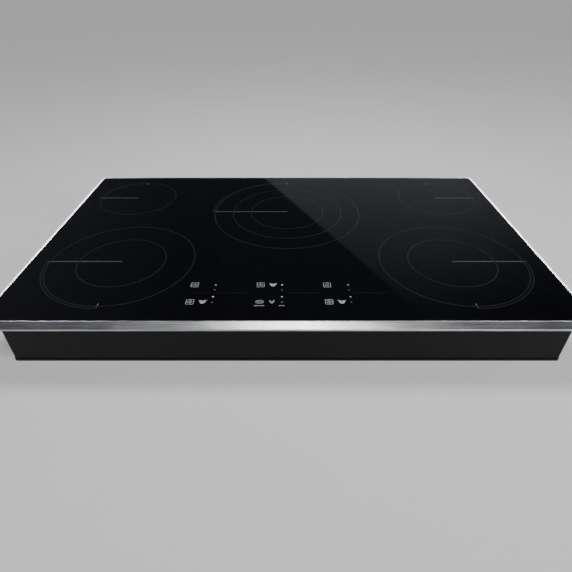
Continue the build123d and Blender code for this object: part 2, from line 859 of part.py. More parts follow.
# ---- mains entry ---------------------------------------------------------------------------------
def terminal_block():
    width, depth, tall = terminal_size
    x, y = entry_x, terminal_y
    body = block(x - width / 2, x + width / 2, y - depth / 2, y + depth / 2, sheet, sheet + tall)
    body = chamfer(body.faces().sort_by(Axis.Z)[-1].edges(), terminal_bevel)
    for i in range(terminal_ways):
        way_x = x + (i - (terminal_ways - 1) / 2) * terminal_pitch
        body -= rod(way_x, y, sheet + tall - terminal_well, sheet + tall + 1, terminal_screw)
        mouth = Plane(origin=(way_x, y + depth / 2, sheet + terminal_wire_level), z_dir=(0, -1, 0))
        body -= mouth * extrude(Circle(terminal_wire), terminal_wire_depth)
    return body


def entry_axis(y0, y1, radius):
    """A cylinder on the axis of the mains entry."""
    return Pos(entry_x, (y0 + y1) / 2, entry_z) * Rot(90, 0, 0) * Cylinder(radius, y1 - y0)


def cable_gland():
    """Hexagonal gland body through the rear wall, with a rounded sealing collar."""
    outside = box_rear + entry_outside
    inside = box_rear - sheet - entry_inside
    hexagon = Plane.XZ.offset(-box_rear) * Pos(entry_x, entry_z) * RegularPolygon(entry_collar, 6)
    body = extrude(hexagon, -entry_flats)
    collar = entry_axis(box_rear + entry_flats, outside, entry_cap)
    body += fillet(collar.edges().filter_by(GeomType.CIRCLE).sort_by(Axis.Y)[-1], entry_cap_round)
    body += entry_axis(inside, box_rear, entry_thread)
    return body - entry_axis(inside - 1, outside + 1, entry_bore)


def gland_nut():
    inner = box_rear - sheet
    hexagon = Plane.XZ.offset(-inner) * Pos(entry_x, entry_z) * RegularPolygon(entry_collar, 6)
    nut = extrude(hexagon, entry_nut)
    return nut - entry_axis(inner - entry_nut - 1, inner + 1, entry_thread)


# ---- worktop clamps ------------------------------------------------------------------------------
def clamp_brackets():
    """Angle brackets on the side walls, each with an arm that holds a clamp screw."""
    made = []
    y0, y1 = clamp_y - clamp_width / 2, clamp_y + clamp_width / 2
    low = clamp_arm_under
    for _, side in sides:
        wall = side * box_x
        bracket = block(wall, wall + side * clamp_plate, y0, y1, low, low + clamp_upright)
        bracket += block(wall, wall + side * clamp_arm_reach, y0, y1, low, low + clamp_plate)
        bracket -= rod(side * clamp_x, clamp_y, 0, worktop, clamp_screw_radius + clamp_clearance)
        made.append(bracket - list(screw_holes(clamp_screw_places())))
    return group(made)


def clamp_screw(side):
    """Socket-head screw whose upper end turns in the clamp foot."""
    x = side * clamp_x
    tip = clamp_foot_under + clamp_foot_socket - clamp_end_gap
    head_top = clamp_head_under + clamp_head_height
    head = rod(x, clamp_y, clamp_head_under, head_top, clamp_head_radius)
    head = chamfer(head.edges().filter_by(GeomType.CIRCLE), clamp_head_bevel)
    body = head + rod(x, clamp_y, head_top, tip, clamp_screw_radius)
    key = Pos(x, clamp_y, clamp_head_under) * extrude(RegularPolygon(clamp_key_radius, 6), clamp_key_depth)
    return body - key


def clamp_foot(side):
    x = side * clamp_x
    low = clamp_foot_under
    foot = rod(x, clamp_y, low, clamp_foot_top, clamp_foot_radius)
    foot = chamfer(foot.edges().filter_by(GeomType.CIRCLE), clamp_foot_bevel)
    return foot - rod(x, clamp_y, low - 1, low + clamp_foot_socket, clamp_screw_radius + clamp_clearance)


# ---- every node ----------------------------------------------------------------------------------
def build():
    nodes = {
        "glass_top": glass_top(),
        "front_trim": front_trim(),
        "bond_seal": bond_seal(),
        "mounting_frame": mounting_frame(),
        "worktop_gasket": worktop_gasket(),
        "chassis_frame": chassis_frame(),
        "bottom_cover": bottom_cover(),
        "case_screws": case_screws(),
        "coil_deck": coil_deck(),
        "ferrite_bars": ferrite_bars(),
        "temperature_sensors": temperature_sensors(),
        "carrier_springs": carrier_springs(),
        "filter_board": filter_board(),
        "filter_chokes": filter_chokes(),
        "board_standoffs": board_standoffs(),
        "transistors": transistors(),
        "capacitors": capacitors(),
        "coil_leads": coil_leads(),
        "control_tray": control_tray(),
        "control_board": control_board(),
        "touch_pads": touch_pads(),
        "terminal_block": terminal_block(),
        "cable_gland": cable_gland(),
        "gland_nut": gland_nut(),
        "clamp_brackets": clamp_brackets(),
    }
    nodes.update(edge_trims())
    for name, x, y, diameters in zones:
        nodes[name + "_carrier"] = coil_carrier(x, y, diameters)
        nodes[name + "_windings"] = windings(x, y, diameters)
        nodes[name + "_mica"] = mica_sheet(x, y, diameters)
    for name, side in sides:
        nodes[name + "_power_board"] = power_board(side)
        nodes[name + "_heatsink"] = heatsink(side)
        nodes[name + "_blower_case"] = blower_case(side)
        nodes[name + "_blower_lid"] = blower_lid(side)
        nodes[name + "_blower_stator"] = blower_stator(side)
        nodes[name + "_blower_rotor"] = blower_rotor(side)
        nodes[name + "_clamp_screw"] = clamp_screw(side)
        nodes[name + "_clamp_foot"] = clamp_foot(side)
    return nodes


os.makedirs("parts", exist_ok=True)
for node, shape in build().items():
    export_step(shape, f"parts/{node}.step")
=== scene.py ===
"""Finishes a built-in glass cooktop: fired-on zones, touch symbols and a finish for each part."""

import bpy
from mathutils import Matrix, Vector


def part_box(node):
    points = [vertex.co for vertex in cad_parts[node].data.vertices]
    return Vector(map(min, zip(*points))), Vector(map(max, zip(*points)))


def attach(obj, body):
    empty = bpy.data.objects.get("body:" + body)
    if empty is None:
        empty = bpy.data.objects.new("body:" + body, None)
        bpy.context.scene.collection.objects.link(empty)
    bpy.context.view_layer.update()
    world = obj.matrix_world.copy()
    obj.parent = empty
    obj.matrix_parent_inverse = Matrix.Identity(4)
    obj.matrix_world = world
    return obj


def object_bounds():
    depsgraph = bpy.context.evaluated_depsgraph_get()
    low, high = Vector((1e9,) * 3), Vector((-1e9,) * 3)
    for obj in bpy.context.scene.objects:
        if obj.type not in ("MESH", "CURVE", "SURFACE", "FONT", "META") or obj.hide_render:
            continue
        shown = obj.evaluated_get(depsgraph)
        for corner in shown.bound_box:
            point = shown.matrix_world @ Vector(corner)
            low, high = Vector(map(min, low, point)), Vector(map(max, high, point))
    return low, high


bl_info = {
    "name": "Glass Cooktop Finisher",
    "version": (1, 0, 0),
    "blender": (4, 5, 0),
    "location": "3D View > Sidebar > Cooktop",
    "description": "Prints zones and touch symbols on the plate and gives each part its finish",
    "category": "Object",
}

from math import atan2, pi, radians, tau

import bmesh
import bpy
from bpy.props import FloatProperty, FloatVectorProperty, PointerProperty
from mathutils import Matrix, Vector

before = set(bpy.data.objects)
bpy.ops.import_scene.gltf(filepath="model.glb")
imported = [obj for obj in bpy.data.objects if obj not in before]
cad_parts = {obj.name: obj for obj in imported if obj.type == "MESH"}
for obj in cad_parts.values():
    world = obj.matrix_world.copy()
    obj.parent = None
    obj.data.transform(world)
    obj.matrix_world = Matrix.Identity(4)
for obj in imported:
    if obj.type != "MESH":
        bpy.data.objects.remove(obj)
cad_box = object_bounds()

MM = 0.001
BODY = "cooktop"
PLATE_GAP = 0.3 * MM  # between the plate and the front trim

plate_low, plate_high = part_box("glass_top")
plate_top = plate_high.z
plate_front = plate_low.y - PLATE_GAP

# name, diameters of the printed rings in inches, side the bar points to, side of the tick
ZONES = (
    ("left_front", (6.0, 10.0), -1, -1),
    ("left_rear", (6.5,), -1, 1),
    ("centre", (6.0, 9.0, 12.0), -1, 1),
    ("right_rear", (6.5,), 1, 1),
    ("right_front", (6.0, 10.0), 1, -1),
)
INCH = 25.4 * MM

THREAD_PITCH = 0.8 * MM
SCREW_HEAD = 4.6 * MM  # height of a clamp screw's head, below its shank
THREAD_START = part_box("left_clamp_screw")[0].z + SCREW_HEAD
WAVE_PHASE = 20.0  # a wave texture turns its phase this many radians per unit of scaled length

# sockets of a colour mix node
MIX_FACTOR, MIX_FIRST, MIX_SECOND = 0, 6, 7
MIX_RESULT = 2


def zone_centre(name):
    """Middle of a cooking zone on top of the plate."""
    low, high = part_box(name + "_mica")
    middle = (low + high) / 2
    return Vector((middle.x, middle.y, plate_top))


# ---- settings ------------------------------------------------------------------------------------
class CooktopPrintSettings(bpy.types.PropertyGroup):
    """Sizes and colours of what is fired onto the plate."""

    ring_width: FloatProperty(
        name="Ring width", description="Width of a zone ring", default=1.9 * MM, unit="LENGTH"
    )
    bar_width: FloatProperty(
        name="Bar width",
        description="Width of a zone's radial bar",
        default=3.2 * MM,
        unit="LENGTH",
    )
    bar_overrun: FloatProperty(
        name="Bar overrun",
        description="Bar and arc beyond the outer ring",
        default=5.0 * MM,
        unit="LENGTH",
    )
    tick_length: FloatProperty(
        name="Tick length", description="Length of a zone's tick", default=10.5 * MM, unit="LENGTH"
    )
    tick_inset: FloatProperty(
        name="Tick inset",
        description="Middle of a tick inside the outer ring",
        default=2.0 * MM,
        unit="LENGTH",
    )
    tick_width: FloatProperty(
        name="Tick width", description="Width of a zone's tick", default=2.0 * MM, unit="LENGTH"
    )
    ink_height: FloatProperty(
        name="Ink height",
        description="How far the print stands above the glass",
        default=0.06 * MM,
        unit="LENGTH",
    )
    ink_root: FloatProperty(
        name="Ink root",
        description="How far the print reaches into the glass",
        default=0.03 * MM,
        unit="LENGTH",
    )
    ring_colour: FloatVectorProperty(
        name="Ring colour",
        description="Colour of the rings",
        subtype="COLOR",
        default=(0.017, 0.018, 0.021),
    )
    marker_colour: FloatVectorProperty(
        name="Marker colour",
        description="Colour of bars",
        subtype="COLOR",
        default=(0.062, 0.064, 0.07),
    )
    tick_colour: FloatVectorProperty(
        name="Tick colour",
        description="Colour of the ticks",
        subtype="COLOR",
        default=(0.1, 0.103, 0.11),
    )


class CooktopKeySettings(bpy.types.PropertyGroup):
    """Sizes of the touch symbols."""

    key_size: FloatProperty(
        name="Key size", description="Side of a power key", default=12.6 * MM, unit="LENGTH"
    )
    stroke: FloatProperty(
        name="Stroke", description="Line width of a symbol", default=1.1 * MM, unit="LENGTH"
    )
    pan_width: FloatProperty(
        name="Pan width", description="Width of a pan symbol", default=13.0 * MM, unit="LENGTH"
    )
    pan_depth: FloatProperty(
        name="Pan depth", description="Depth of a pan symbol", default=9.0 * MM, unit="LENGTH"
    )
    dot_radius: FloatProperty(
        name="Dot radius", description="Radius of a level dot", default=1.6 * MM, unit="LENGTH"
    )
    front_row: FloatProperty(
        name="Front row",
        description="Front key row behind the plate's edge",
        default=45.5 * MM,
        unit="LENGTH",
    )
    rear_row: FloatProperty(
        name="Rear row",
        description="Rear key row behind the plate's edge",
        default=90.5 * MM,
        unit="LENGTH",
    )
    line_row: FloatProperty(
        name="Guide line",
        description="Guide line behind the plate's edge",
        default=69.0 * MM,
        unit="LENGTH",
    )
    colour: FloatVectorProperty(
        name="Symbol colour",
        description="Colour of the symbols",
        subtype="COLOR",
        default=(0.38, 0.39, 0.41),
    )


class CooktopFinishSettings(bpy.types.PropertyGroup):
    """Colours of the metal, glass and plastic finishes."""

    glass_colour: FloatVectorProperty(
        name="Glass",
        description="Body colour of the plate",
        subtype="COLOR",
        default=(0.0022, 0.0024, 0.0036),
    )
    trim_colour: FloatVectorProperty(
        name="Trim", description="Brushed trim", subtype="COLOR", default=(0.5, 0.51, 0.53)
    )
    # painted highlight: the side trims get a lighter metal colour than the front and rear trims, so
    # they look lit
    lit_side_trim_colour: FloatVectorProperty(
        name="Side trim",
        description="Brushed side trims",
        subtype="COLOR",
        default=(0.8, 0.81, 0.83),
    )
    case_colour: FloatVectorProperty(
        name="Case", description="Painted case", subtype="COLOR", default=(0.0034, 0.0036, 0.0048)
    )
    glass_roughness: FloatProperty(
        name="Glass roughness",
        description="Polish of the plate",
        default=0.03,
        min=0.0,
        max=1.0,
        subtype="FACTOR",
    )


class CooktopStageSettings(bpy.types.PropertyGroup):
    """Floor, lights and camera."""

    floor_size: FloatProperty(
        name="Floor size", description="Side of the floor", default=40.0, unit="LENGTH"
    )
    floor_colour: FloatVectorProperty(
        name="Floor colour", description="Pale floor", subtype="COLOR", default=(0.72, 0.72, 0.71)
    )
    key_power: FloatProperty(
        name="Key light", description="Strength of the broad key light", default=2.2
    )
    overhead_power: FloatProperty(
        name="Overhead", description="Power of the overhead softbox", default=12.5, unit="POWER"
    )
    side_power: FloatProperty(
        name="Side lights",
        description="Power of a side softbox before its share",
        default=14.0,
        unit="POWER",
    )
    rim_strength: FloatProperty(
        name="Rim cards", description="Brightness of the low rear cards", default=45.0
    )
    left_strength: FloatProperty(
        name="Left card", description="Brightness of the faint left wall", default=0.13
    )
    card_strength: FloatProperty(
        name="Card", description="Brightness of the reflected wall", default=0.26
    )
    ambient: FloatProperty(
        name="Ambient", description="Brightness of the surroundings", default=0.035
    )
    backdrop: FloatProperty(
        name="Backdrop", description="Brightness of the plain backdrop", default=0.3
    )
    eye_height: FloatProperty(
        name="Eye height", description="Camera above the plate", default=0.4143, unit="LENGTH"
    )
    eye_distance: FloatProperty(
        name="Eye distance",
        description="Camera in front of the plate",
        default=0.4815,
        unit="LENGTH",
    )
    eye_pitch: FloatProperty(
        name="Eye pitch", description="Downward look", default=radians(36.07), subtype="ANGLE"
    )
    lens: FloatProperty(name="Lens", description="Focal length", default=27.13, unit="CAMERA")
    shift: FloatProperty(name="Shift", description="Sideways shift of the picture", default=-0.0017)


def prints():
    return bpy.context.scene.cooktop_prints


def keys():
    return bpy.context.scene.cooktop_keys


def finishes():
    return bpy.context.scene.cooktop_finishes


def staging():
    return bpy.context.scene.cooktop_stage


# ---- node tools ----------------------------------------------------------------------------------
def add(tree, kind, inputs=None, **settings):
    """Adds a node; inputs may be plain values or sockets to link from."""
    made = tree.nodes.new(kind)
    for key, value in settings.items():
        setattr(made, key, value)
    for key, value in (inputs or {}).items():
        if isinstance(value, bpy.types.NodeSocket):
            tree.links.new(value, made.inputs[key])
        else:
            made.inputs[key].default_value = value
    return made


def calculate(tree, operation, first, second):
    return add(tree, "ShaderNodeMath", {0: first, 1: second}, operation=operation).outputs[0]


def times(tree, first, second):
    return calculate(tree, "MULTIPLY", first, second)


def plus(tree, first, second):
    return calculate(tree, "ADD", first, second)


def above(tree, value, limit):
    """1 where the value is above the limit, 0 elsewhere."""
    return calculate(tree, "GREATER_THAN", value, limit)


def object_place(tree):
    """Position on the piece, in metres from the origin."""
    return add(tree, "ShaderNodeTexCoord").outputs["Object"]


def remap(tree, value, low, high, to_low, to_high):
    inputs = {
        "Value": value,
        "From Min": low,
        "From Max": high,
        "To Min": to_low,
        "To Max": to_high,
    }
    return add(tree, "ShaderNodeMapRange", inputs).outputs["Result"]


def blend(tree, factor, first, second):
    """Mixes two colours by a factor."""
    made = add(tree, "ShaderNodeMix", data_type="RGBA")
    for index, value in ((MIX_FACTOR, factor), (MIX_FIRST, first), (MIX_SECOND, second)):
        if isinstance(value, bpy.types.NodeSocket):
            tree.links.new(value, made.inputs[index])
        else:
            made.inputs[index].default_value = (*value, 1.0)
    return made.outputs[MIX_RESULT]


def noise(tree, place, scale, detail=4.0, rough=0.55):
    inputs = {"Vector": place, "Scale": scale, "Detail": detail, "Roughness": rough}
    return add(tree, "ShaderNodeTexNoise", inputs).outputs["Fac"]


def new_group(name, inputs, outputs):
    """Starts a node group; returns its tree, its inputs' sockets and its outputs' sockets."""
    tree = bpy.data.node_groups.new(name, "ShaderNodeTree")
    kinds = {float: "NodeSocketFloat", tuple: "NodeSocketVector"}
    for key, default in inputs.items():
        socket = tree.interface.new_socket(key, in_out="INPUT", socket_type=kinds[type(default)])
        socket.default_value = default
    for key in outputs:
        tree.interface.new_socket(key, in_out="OUTPUT", socket_type="NodeSocketFloat")
    source = tree.nodes.new("NodeGroupInput")
    target = tree.nodes.new("NodeGroupOutput")
    return tree, source.outputs, target.inputs


def brushed_grain():
    """Long fine scratches along one direction, with a slow drift of tone."""
    tree, given, out = new_group(
        "Brushed Grain", {"Stretch": (4.0, 900.0, 900.0), "Drift": 14.0}, ("Tone", "Height")
    )
    place = object_place(tree)
    inputs = {0: place, 1: given["Stretch"]}
    stretched = add(tree, "ShaderNodeVectorMath", inputs, operation="MULTIPLY").outputs[0]
    fine = noise(tree, stretched, 1.0, 3.0, 0.65)
    coarse = noise(tree, stretched, 0.35, 2.0, 0.5)
    slow = noise(tree, place, given["Drift"], 2.0)
    streaks = plus(tree, times(tree, fine, 0.6), times(tree, coarse, 0.4))
    tone = plus(tree, times(tree, streaks, 0.75), times(tree, slow, 0.25))
    tree.links.new(streaks, out["Height"])
    tree.links.new(tone, out["Tone"])
    return tree


def handling_marks():
    """Faint wiping marks and finger smears that change the gloss."""
    tree, given, out = new_group("Handling Marks", {"Scale": 9.0, "Amount": 0.5}, ("Mask",))
    place = object_place(tree)
    warp = add(tree, "ShaderNodeTexNoise", {"Vector": place, "Scale": 3.0, "Detail": 2.0})
    bent = add(tree, "ShaderNodeVectorMath", {0: place, 1: warp.outputs["Color"]}, operation="ADD")
    inputs = {"Vector": bent.outputs[0], "Scale": (1.0, 2.6, 1.0), "Rotation": (0.0, 0.0, 0.5)}
    wiped = add(tree, "ShaderNodeMapping", inputs).outputs[0]
    smear = remap(tree, noise(tree, wiped, given["Scale"], 6.0, 0.6), 0.42, 0.72, 0.0, 1.0)
    tree.links.new(times(tree, smear, given["Amount"]), out["Mask"])
    return tree


def fine_texture():
    """Even small-scale bumps of paint, moulded plastic or cast surfaces, with sparse specks."""
    tree, given, out = new_group(
        "Fine Texture", {"Scale": 900.0, "Specks": 0.7}, ("Tone", "Height", "Specks")
    )
    place = object_place(tree)
    bumps = noise(tree, place, given["Scale"], 2.0, 0.5)
    broad = noise(tree, place, 22.0, 3.0, 0.5)
    cells = add(tree, "ShaderNodeTexVoronoi", {"Vector": place, "Scale": given["Scale"]})
    specks = remap(tree, cells.outputs["Distance"], 0.0, 0.25, 1.0, 0.0)
    gate = above(tree, noise(tree, place, 160.0, 1.0), given["Specks"])
    tone = plus(tree, times(tree, bumps, 0.4), times(tree, broad, 0.6))
    tree.links.new(bumps, out["Height"])
    tree.links.new(tone, out["Tone"])
    tree.links.new(times(tree, specks, gate), out["Specks"])
    return tree


def settled_dust():
    """Thin dust that lies on faces that look up."""
    tree, given, out = new_group("Settled Dust", {"Amount": 0.3}, ("Mask",))
    place = object_place(tree)
    normal = add(tree, "ShaderNodeNewGeometry").outputs["Normal"]
    facing = add(tree, "ShaderNodeSeparateXYZ", {0: normal}).outputs["Z"]
    upward = remap(tree, facing, 0.4, 1.0, 0.0, 1.0)
    patches = remap(tree, noise(tree, place, 40.0, 6.0, 0.7), 0.35, 0.75, 0.1, 1.0)
    tree.links.new(times(tree, times(tree, upward, patches), given["Amount"]), out["Mask"])
    return tree


GROUP_MAKERS = {
    "Brushed Grain": brushed_grain,
    "Handling Marks": handling_marks,
    "Fine Texture": fine_texture,
    "Settled Dust": settled_dust,
}


def effect(tree, name, **values):
    """Places a shared effect in a material with its own values."""
    group = bpy.data.node_groups.get(name) or GROUP_MAKERS[name]()
    made = tree.nodes.new("ShaderNodeGroup")
    made.node_tree = group
    for key, value in values.items():
        made.inputs[key].default_value = value
    return made.outputs


def start_material(name, **values):
    """A new material and its Principled BSDF; values are constants on the shader's own sockets."""
    material = bpy.data.materials.new(name)
    material.use_nodes = True
    tree = material.node_tree
    shader = next(n for n in tree.nodes if n.type == "BSDF_PRINCIPLED")
    for key, value in values.items():
        shader.inputs[key.replace("_", " ")].default_value = value
    return material, tree, shader


def feed(tree, shader, colour, roughness, height=None, depth=0.0, strength=0.0):
    """Links a varying colour, roughness and, if a height is given, bump into a shader."""
    tree.links.new(colour, shader.inputs["Base Color"])
    tree.links.new(roughness, shader.inputs["Roughness"])
    if height is not None:
        inputs = {"Height": height, "Distance": depth, "Strength": strength}
        bump = add(tree, "ShaderNodeBump", inputs)
        tree.links.new(bump.outputs["Normal"], shader.inputs["Normal"])


def shade(colour, factor):
    """A lighter or darker colour."""
    return tuple(min(1.0, c * factor) for c in colour)


# ---- finishes ------------------------------------------------------------------------------------
def glass_ceramic():
    colour = finishes().glass_colour
    material, tree, shader = start_material("glass_ceramic", IOR=1.5, Coat_Weight=0.0)
    marks = effect(tree, "Handling Marks", Scale=11.0, Amount=1.0)
    grain = effect(tree, "Fine Texture", Scale=1400.0, Specks=0.62)
    tinted = blend(tree, grain["Specks"], colour, shade(colour, 3.2))
    tinted = blend(tree, times(tree, marks["Mask"], 0.3), tinted, (0.004, 0.0043, 0.005))
    base = finishes().glass_roughness
    rough = remap(tree, marks["Mask"], 0.0, 1.0, base, base + 0.03)
    slow = noise(tree, object_place(tree), 6.0, 1.0)
    feed(tree, shader, tinted, rough, slow, 0.00004, 0.35)
    return material


def brushed_metal(name, stretch, colour, low, high):
    """Metal with a directional grain; low and high are the limits of its roughness."""
    material, tree, shader = start_material(name, Metallic=1.0)
    grain = effect(tree, "Brushed Grain", Stretch=stretch)
    marks = effect(tree, "Handling Marks", Scale=30.0, Amount=0.5)
    tone = remap(tree, grain["Tone"], 0.36, 0.64, 0.0, 1.0)
    mixed = blend(tree, tone, shade(colour, 0.5), shade(colour, 1.3))
    rough = remap(tree, grain["Height"], 0.25, 0.75, low, high)
    rough = plus(tree, rough, times(tree, marks["Mask"], 0.08))
    feed(tree, shader, mixed, rough, grain["Height"], 0.00002, 0.6)
    return material


def plated_steel(name, colour, spangle=260.0):
    """Zinc plating with a faint crystal pattern."""
    material, tree, shader = start_material(name, Metallic=1.0)
    place = object_place(tree)
    crystals = add(tree, "ShaderNodeTexVoronoi", {"Vector": place, "Scale": spangle})
    value = add(tree, "ShaderNodeSeparateColor", {0: crystals.outputs["Color"]}).outputs[0]
    dust = effect(tree, "Settled Dust", Amount=0.25)
    tinted = blend(tree, value, shade(colour, 0.8), shade(colour, 1.12))
    tinted = blend(tree, dust["Mask"], tinted, (0.3, 0.29, 0.27))
    rough = remap(tree, value, 0.0, 1.0, 0.28, 0.46)
    feed(tree, shader, tinted, rough, noise(tree, place, 700.0), 0.00002, 0.5)
    return material


def textured_coat(
    name, colour, scale, low, high, depth, metallic=0.0, specks=0.68, dust=0.12, gloss=0.5
):
    """Paint, plastic, rubber or sintered material; low and high are the limits of its roughness."""
    material, tree, shader = start_material(name, Metallic=metallic, Specular_IOR_Level=gloss)
    texture = effect(tree, "Fine Texture", Scale=scale, Specks=specks)
    fluff = effect(tree, "Settled Dust", Amount=dust)
    tone = remap(tree, texture["Tone"], 0.3, 0.7, 0.0, 1.0)
    tinted = blend(tree, tone, shade(colour, 0.8), shade(colour, 1.2))
    tinted = blend(tree, times(tree, texture["Specks"], 0.4), tinted, shade(colour, 2.2))
    tinted = blend(tree, fluff["Mask"], tinted, (0.2, 0.2, 0.2))
    rough = remap(tree, texture["Tone"], 0.25, 0.75, low, high)
    feed(tree, shader, tinted, rough, texture["Height"], depth, 0.7)
    return material


def stranded_wire():
    """Enamelled copper bundles: fine strands that run round the winding, with painted shade in the
    gaps between the strands.
    """
    material, tree, shader = start_material("stranded_wire", Metallic=0.75, Coat_Weight=0.4)
    place = object_place(tree)
    strands = add(tree, "ShaderNodeTexVoronoi", {"Vector": place, "Scale": 1500.0})
    edge = strands.outputs["Distance"]
    patches = noise(tree, place, 60.0, 3.0)
    copper = blend(tree, patches, (0.42, 0.15, 0.05), (0.66, 0.3, 0.12))
    # painted shade: the copper darkens towards the gaps between the strands
    copper = blend(tree, remap(tree, edge, 0.2, 0.6, 0.0, 0.75), copper, (0.12, 0.04, 0.02))
    feed(tree, shader, copper, remap(tree, edge, 0.0, 0.7, 0.28, 0.6), edge, 0.0001, 0.8)
    return material


def layered_mica():
    material, tree, shader = start_material("layered_mica", Coat_Weight=0.2)
    place = object_place(tree)
    flakes = add(tree, "ShaderNodeTexVoronoi", {"Vector": place, "Scale": 90.0}).outputs["Color"]
    value = add(tree, "ShaderNodeSeparateColor", {0: flakes}).outputs[1]
    tinted = blend(tree, value, (0.36, 0.32, 0.24), (0.58, 0.53, 0.42))
    feed(tree, shader, tinted, remap(tree, value, 0.0, 1.0, 0.35, 0.6), value, 0.00005, 0.6)
    return material


def solder_mask():
    """Circuit board lacquer over copper tracks."""
    material, tree, shader = start_material("solder_mask", Coat_Weight=0.5)
    place = object_place(tree)
    inputs = {"Vector": place, "Scale": 70.0, "Mortar Size": 0.06}
    tracks = add(tree, "ShaderNodeTexBrick", inputs).outputs["Fac"]
    cloud = noise(tree, place, 35.0, 3.0)
    green = blend(tree, cloud, (0.006, 0.07, 0.03), (0.012, 0.11, 0.045))
    green = blend(tree, tracks, green, (0.03, 0.17, 0.07))
    feed(tree, shader, green, remap(tree, cloud, 0.3, 0.7, 0.25, 0.42), tracks, 0.00004, 0.8)
    return material


def braided_sleeve():
    material, tree, shader = start_material("braided_sleeve", Sheen_Weight=0.3)
    place = object_place(tree)
    inputs = {"Vector": place, "Scale": 260.0}
    slanted = add(tree, "ShaderNodeTexWave", inputs, bands_direction="DIAGONAL").outputs["Fac"]
    inputs = {"Vector": place, "Scale": 210.0}
    level = add(tree, "ShaderNodeTexWave", inputs, bands_direction="Z").outputs["Fac"]
    weave = times(tree, slanted, level)
    tinted = blend(tree, weave, (0.34, 0.31, 0.24), (0.62, 0.58, 0.48))
    feed(tree, shader, tinted, remap(tree, weave, 0.0, 1.0, 0.7, 0.9), weave, 0.0002, 0.9)
    return material


def fired_ink(name, colour):
    """Ceramic print under a clear glaze: its tone and coverage vary a little."""
    material, tree, shader = start_material(
        name, Specular_IOR_Level=0.0, Coat_Weight=1.0, Coat_IOR=1.5, Coat_Roughness=0.03
    )
    texture = effect(tree, "Fine Texture", Scale=2600.0, Specks=0.6)
    tone = remap(tree, texture["Tone"], 0.3, 0.7, 0.0, 1.0)
    tinted = blend(tree, tone, shade(colour, 0.82), shade(colour, 1.15))
    rough = remap(tree, texture["Tone"], 0.3, 0.7, 0.6, 0.8)
    feed(tree, shader, tinted, rough, texture["Height"], 0.00002, 0.5)
    return material


def silicone():
    return textured_coat("silicone_bead", (0.02, 0.02, 0.021), 420.0, 0.45, 0.62, 0.00003)


def foam_tape():
    colour = (0.016, 0.016, 0.017)
    return textured_coat("foam_tape", colour, 1100.0, 0.85, 0.98, 0.0003, specks=0.4, dust=0.05)


def case_paint():
    colour = finishes().case_colour
    return textured_coat(
        "case_paint", colour, 650.0, 0.36, 0.5, 0.00006, specks=0.72, dust=0.015, gloss=0.2
    )


def moulded_plastic():
    return textured_coat("moulded_plastic", (0.022, 0.022, 0.024), 1500.0, 0.5, 0.66, 0.00006)


def sintered_ferrite():
    colour = (0.05, 0.05, 0.055)
    return textured_coat("sintered_ferrite", colour, 800.0, 0.55, 0.75, 0.00012, metallic=0.2)


def component_case():
    return textured_coat("component_case", (0.03, 0.03, 0.034), 1200.0, 0.38, 0.55, 0.00004)


def nylon():
    return textured_coat("nylon", (0.62, 0.6, 0.54), 900.0, 0.35, 0.5, 0.00003, dust=0.1)


def mill_aluminium():
    return brushed_metal("mill_aluminium", (500.0, 5.0, 500.0), (0.7, 0.71, 0.72), 0.3, 0.48)


def spring_wire():
    return brushed_metal("spring_wire", (300.0, 300.0, 60.0), (0.46, 0.46, 0.48), 0.25, 0.4)


def front_trim_metal():
    colour = finishes().trim_colour
    return brushed_metal("front_trim_metal", (34.0, 1700.0, 1700.0), colour, 0.26, 0.42)


def side_trim_metal():
    # painted highlight: this lighter colour stands in for the light the side trims catch
    colour = finishes().lit_side_trim_colour
    return brushed_metal("side_trim_metal", (1700.0, 34.0, 1700.0), colour, 0.34, 0.46)


def zinc_plate():
    return plated_steel("zinc_plate", (0.52, 0.53, 0.54))


def screw_plate():
    return plated_steel("screw_plate", (0.3, 0.3, 0.31), 900.0)


def threaded_steel():
    """Dark plated clamp screws: the shank above the head shows a fine thread."""
    material, tree, shader = start_material("threaded_steel", Metallic=1.0)
    place = object_place(tree)
    inputs = {"Vector": place, "Scale": tau / (WAVE_PHASE * THREAD_PITCH)}
    ridges = add(tree, "ShaderNodeTexWave", inputs, bands_direction="Z").outputs["Fac"]
    level = add(tree, "ShaderNodeSeparateXYZ", {0: place}).outputs["Z"]
    thread = times(tree, ridges, above(tree, level, THREAD_START))
    wear = noise(tree, place, 400.0)
    tinted = blend(tree, thread, (0.16, 0.16, 0.165), (0.34, 0.34, 0.35))
    tinted = blend(tree, remap(tree, wear, 0.55, 0.8, 0.0, 0.6), tinted, (0.5, 0.5, 0.51))
    feed(tree, shader, tinted, remap(tree, wear, 0.3, 0.7, 0.3, 0.48), thread, 0.0003, 0.9)
    return material


# each finish and the endings of the names of the parts that have it
NODE_FINISHES = (
    (glass_ceramic, ("glass_top",)),
    (front_trim_metal, ("front_trim", "rear_trim")),
    (side_trim_metal, ("left_trim", "right_trim")),
    (silicone, ("bond_seal",)),
    (foam_tape, ("worktop_gasket", "touch_pads")),
    (case_paint, ("chassis_frame", "bottom_cover")),
    (zinc_plate, ("mounting_frame", "clamp_brackets", "clamp_foot", "blower_stator")),
    (screw_plate, ("case_screws",)),
    (threaded_steel, ("clamp_screw",)),
    (mill_aluminium, ("coil_deck", "heatsink")),
    (spring_wire, ("carrier_springs",)),
    (stranded_wire, ("windings", "filter_chokes")),
    (sintered_ferrite, ("ferrite_bars",)),
    (layered_mica, ("mica",)),
    (solder_mask, ("filter_board", "power_board", "control_board")),
    (component_case, ("transistors", "capacitors", "temperature_sensors")),
    (braided_sleeve, ("coil_leads",)),
    (nylon, ("terminal_block", "board_standoffs")),
    (
        moulded_plastic,
        (
            "carrier",
            "blower_case",
            "blower_lid",
            "blower_rotor",
            "control_tray",
            "cable_gland",
            "gland_nut",
        ),
    ),
)


